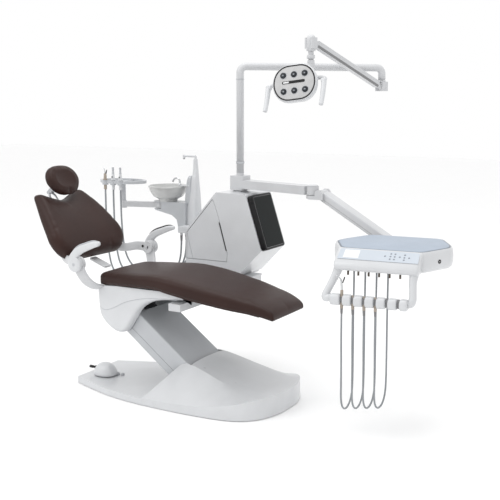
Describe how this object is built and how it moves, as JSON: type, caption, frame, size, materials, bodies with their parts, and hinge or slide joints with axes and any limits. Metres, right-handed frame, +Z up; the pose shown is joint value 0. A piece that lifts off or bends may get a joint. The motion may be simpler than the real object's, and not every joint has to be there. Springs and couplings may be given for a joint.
{
  "type": "dental chair",
  "caption": "Reclining treatment chair on a lifting arm, with side unit, spittoon, instrument tray with hoses, assistant holder and swing light.",
  "frame": {"origin": "on the floor, on the base's centre line, 555 mm in front of the base's rear edge", "axes": "+X from the head end to the foot end, +Y to the patient's left (the side unit's side), +Z up"},
  "size_m": [2.4403, 1.6603, 1.923],
  "materials": {
    "steel_painted": "satin",
    "white_metal": "gloss",
    "white_shell": "gloss",
    "grey_shell": "gloss",
    "black_gloss": "gloss",
    "dark_plastic": "matte",
    "motor_black": "matte",
    "beige_plastic": "matte",
    "mat_grey": "matte",
    "hose_grey": "satin",
    "brown_leather": "satin",
    "steel_bright": "brushed",
    "chrome_spout": "polished",
    "bowl_ceramic": "gloss",
    "lens_glass": "gloss"
  },
  "bodies": {
    "base": {"base_plate": "steel_painted", "base_cover": "white_shell", "pivot_frame": "steel_painted", "lower_pin": "steel_bright", "lift_motor": "motor_black", "foot_control": "white_shell"},
    "joystick": {"foot_joystick": "dark_plastic"},
    "lift_arm": {"lift_beam": "steel_painted", "lift_arm_cover": "grey_shell"},
    "parallel_link": {"parallel_link": "steel_painted"},
    "carriage": {"upper_pin": "steel_bright", "seat_frame": "steel_painted", "seat_cover": "white_shell", "seat_cushion": "brown_leather", "unit_crossbeam": "steel_painted", "backrest_actuator": "motor_black", "hip_brackets": "white_metal", "unit_mast": "white_metal", "unit_cover": "white_shell", "viewer_panel": "black_gloss", "spittoon_tower": "white_shell", "bowl_support": "white_shell", "bowl": "bowl_ceramic", "hose_outlets": "white_shell", "assistant_hose_1": "hose_grey", "assistant_hose_2": "hose_grey", "assistant_hose_3": "hose_grey"},
    "backrest": {"backrest_frame": "white_metal", "backrest_cushion": "brown_leather"},
    "headrest_slide": {"headrest_bar": "steel_bright"},
    "headrest": {"headrest_bracket": "dark_plastic", "headrest_cushion": "brown_leather"},
    "armrest_left": {"armrest_left": "white_shell"},
    "armrest_right": {"armrest_right": "white_shell"},
    "unit_door": {"unit_door": "white_shell"},
    "cup_filler": {"cup_filler": "white_shell"},
    "rinse_spout": {"rinse_spout": "chrome_spout"},
    "assistant_arm": {"assistant_arm": "white_metal", "assistant_holder": "grey_shell", "assistant_instruments": "beige_plastic"},
    "delivery_arm": {"delivery_arm": "white_metal"},
    "delivery_elbow": {"delivery_elbow": "white_metal"},
    "balance_arm": {"balance_arm": "white_metal"},
    "tray_head": {"tray_head": "white_metal"},
    "tray": {"tray_body": "white_shell", "tray_mat": "mat_grey", "tray_handle": "white_shell", "adjuster_knobs": "dark_plastic", "delivery_instruments": "beige_plastic", "delivery_hose_1": "hose_grey", "delivery_hose_2": "hose_grey", "delivery_hose_3": "hose_grey", "delivery_hose_4": "hose_grey"},
    "light_arm": {"light_arm": "white_metal"},
    "light_knuckle": {"light_knuckle": "white_metal"},
    "light_balance_arm": {"light_balance_arm": "white_metal"},
    "light_neck": {"light_neck": "white_metal"},
    "lamp_yoke": {"lamp_yoke": "white_metal"},
    "lamp": {"lamp_housing": "white_shell", "lamp_lenses": "lens_glass"}
  },
  "joints": [
    {"name": "joystick_tilt", "type": "hinge", "parent": "base", "child": "joystick", "pos_m": [-0.474, -0.09, 0.074], "axis": [0, 1, 0], "range_deg": [-9, 9], "stiffness_Nm_per_rad": 0.3},
    {"name": "lift", "type": "hinge", "parent": "base", "child": "lift_arm", "pos_m": [0.1457, 0, 0.135], "axis": [0, 1, 0], "range_deg": [-24, 12]},
    {"name": "link_swing", "type": "hinge", "parent": "base", "child": "parallel_link", "pos_m": [0.1357, 0, 0.095], "axis": [0, 1, 0], "range_deg": [-24, 12]},
    {"name": "seat_level", "type": "hinge", "parent": "lift_arm", "child": "carriage", "pos_m": [-0.25894, 0, 0.44214], "axis": [0, 1, 0], "range_deg": [-12, 24]},
    {"name": "backrest_recline", "type": "hinge", "parent": "carriage", "child": "backrest", "pos_m": [-0.413, 0, 0.716], "axis": [0, -1, 0], "range_deg": [-10, 46]},
    {"name": "headrest_height", "type": "slide", "parent": "backrest", "child": "headrest_slide", "axis": [-0.6225, 0, 0.7826], "range_m": [-0.03, 0.12]},
    {"name": "headrest_tilt", "type": "hinge", "parent": "headrest_slide", "child": "headrest", "pos_m": [-0.87482, 0, 1.04547], "axis": [0, -1, 0], "range_deg": [-3, 35]},
    {"name": "armrest_left_swing", "type": "hinge", "parent": "carriage", "child": "armrest_left", "pos_m": [-0.413, 0.346, 0.716], "axis": [0, -1, 0], "range_deg": [0, 85]},
    {"name": "armrest_right_swing", "type": "hinge", "parent": "carriage", "child": "armrest_right", "pos_m": [-0.413, -0.346, 0.716], "axis": [0, -1, 0], "range_deg": [0, 85]},
    {"name": "unit_door_swing", "type": "hinge", "parent": "carriage", "child": "unit_door", "pos_m": [-0.24, 0.47, 0.72], "axis": [0, 0, -1], "range_deg": [0, 35]},
    {"name": "cup_filler_swivel", "type": "hinge", "parent": "carriage", "child": "cup_filler", "pos_m": [-0.304, 0.672, 1.218], "axis": [0, 0, 1], "range_deg": [-90, 90]},
    {"name": "rinse_spout_swivel", "type": "hinge", "parent": "carriage", "child": "rinse_spout", "pos_m": [-0.4, 0.64, 1.052], "axis": [0, 0, 1], "range_deg": [-40, 40]},
    {"name": "assistant_swing", "type": "hinge", "parent": "carriage", "child": "assistant_arm", "pos_m": [-0.545, 0.66, 0.925], "axis": [0, 0, 1], "range_deg": [-25, 12]},
    {"name": "delivery_swing", "type": "hinge", "parent": "carriage", "child": "delivery_arm", "pos_m": [0.04, 0.62, 1.094], "axis": [0, 0, 1], "range_deg": [-5, 60]},
    {"name": "delivery_elbow_swing", "type": "hinge", "parent": "delivery_arm", "child": "delivery_elbow", "pos_m": [0.59, 0.455, 1.08], "axis": [0, 0, 1], "range_deg": [-12, 50]},
    {"name": "tray_lift", "type": "hinge", "parent": "delivery_elbow", "child": "balance_arm", "pos_m": [0.65, 0.455, 1.07], "axis": [0, -1, 0], "range_deg": [-6, 35]},
    {"name": "tray_level", "type": "hinge", "parent": "balance_arm", "child": "tray_head", "pos_m": [1.13, 0.455, 0.785], "axis": [0, -1, 0], "range_deg": [-35, 6]},
    {"name": "tray_turn", "type": "hinge", "parent": "tray_head", "child": "tray", "pos_m": [1.15, 0.25, 0.785], "axis": [0, 0, 1], "range_deg": [-10, 22]},
    {"name": "light_swing", "type": "hinge", "parent": "carriage", "child": "light_arm", "pos_m": [0.04, 0.62, 1.15], "axis": [0, 0, 1], "range_deg": [-60, 60]},
    {"name": "light_knuckle_turn", "type": "hinge", "parent": "light_arm", "child": "light_knuckle", "pos_m": [0.659, 1.265, 1.69], "axis": [0, 0, 1], "range_deg": [-3, 120]},
    {"name": "light_reach", "type": "hinge", "parent": "light_knuckle", "child": "light_balance_arm", "pos_m": [0.659, 1.265, 1.648], "axis": [-0.9102, 0.4141, 0], "range_deg": [-35, 5]},
    {"name": "light_level", "type": "hinge", "parent": "light_balance_arm", "child": "light_neck", "pos_m": [0.427, 0.755, 1.905], "axis": [-0.9102, 0.4141, 0], "range_deg": [-5, 35]},
    {"name": "lamp_turn", "type": "hinge", "parent": "light_neck", "child": "lamp_yoke", "pos_m": [0.427, 0.755, 1.79], "axis": [0, 0, 1], "range_deg": [-60, 60]},
    {"name": "lamp_tilt", "type": "hinge", "parent": "lamp_yoke", "child": "lamp", "pos_m": [0.432, 0.56, 1.66], "axis": [0.9794, 0.1608, 0.1219], "range_deg": [-20, 35]}
  ],
  "couplings": [
    {"joint": "link_swing", "follows": "lift", "ratio": 1},
    {"joint": "seat_level", "follows": "lift", "ratio": -1},
    {"joint": "tray_level", "follows": "tray_lift", "ratio": -1},
    {"joint": "light_level", "follows": "light_reach", "ratio": -1}
  ]
}
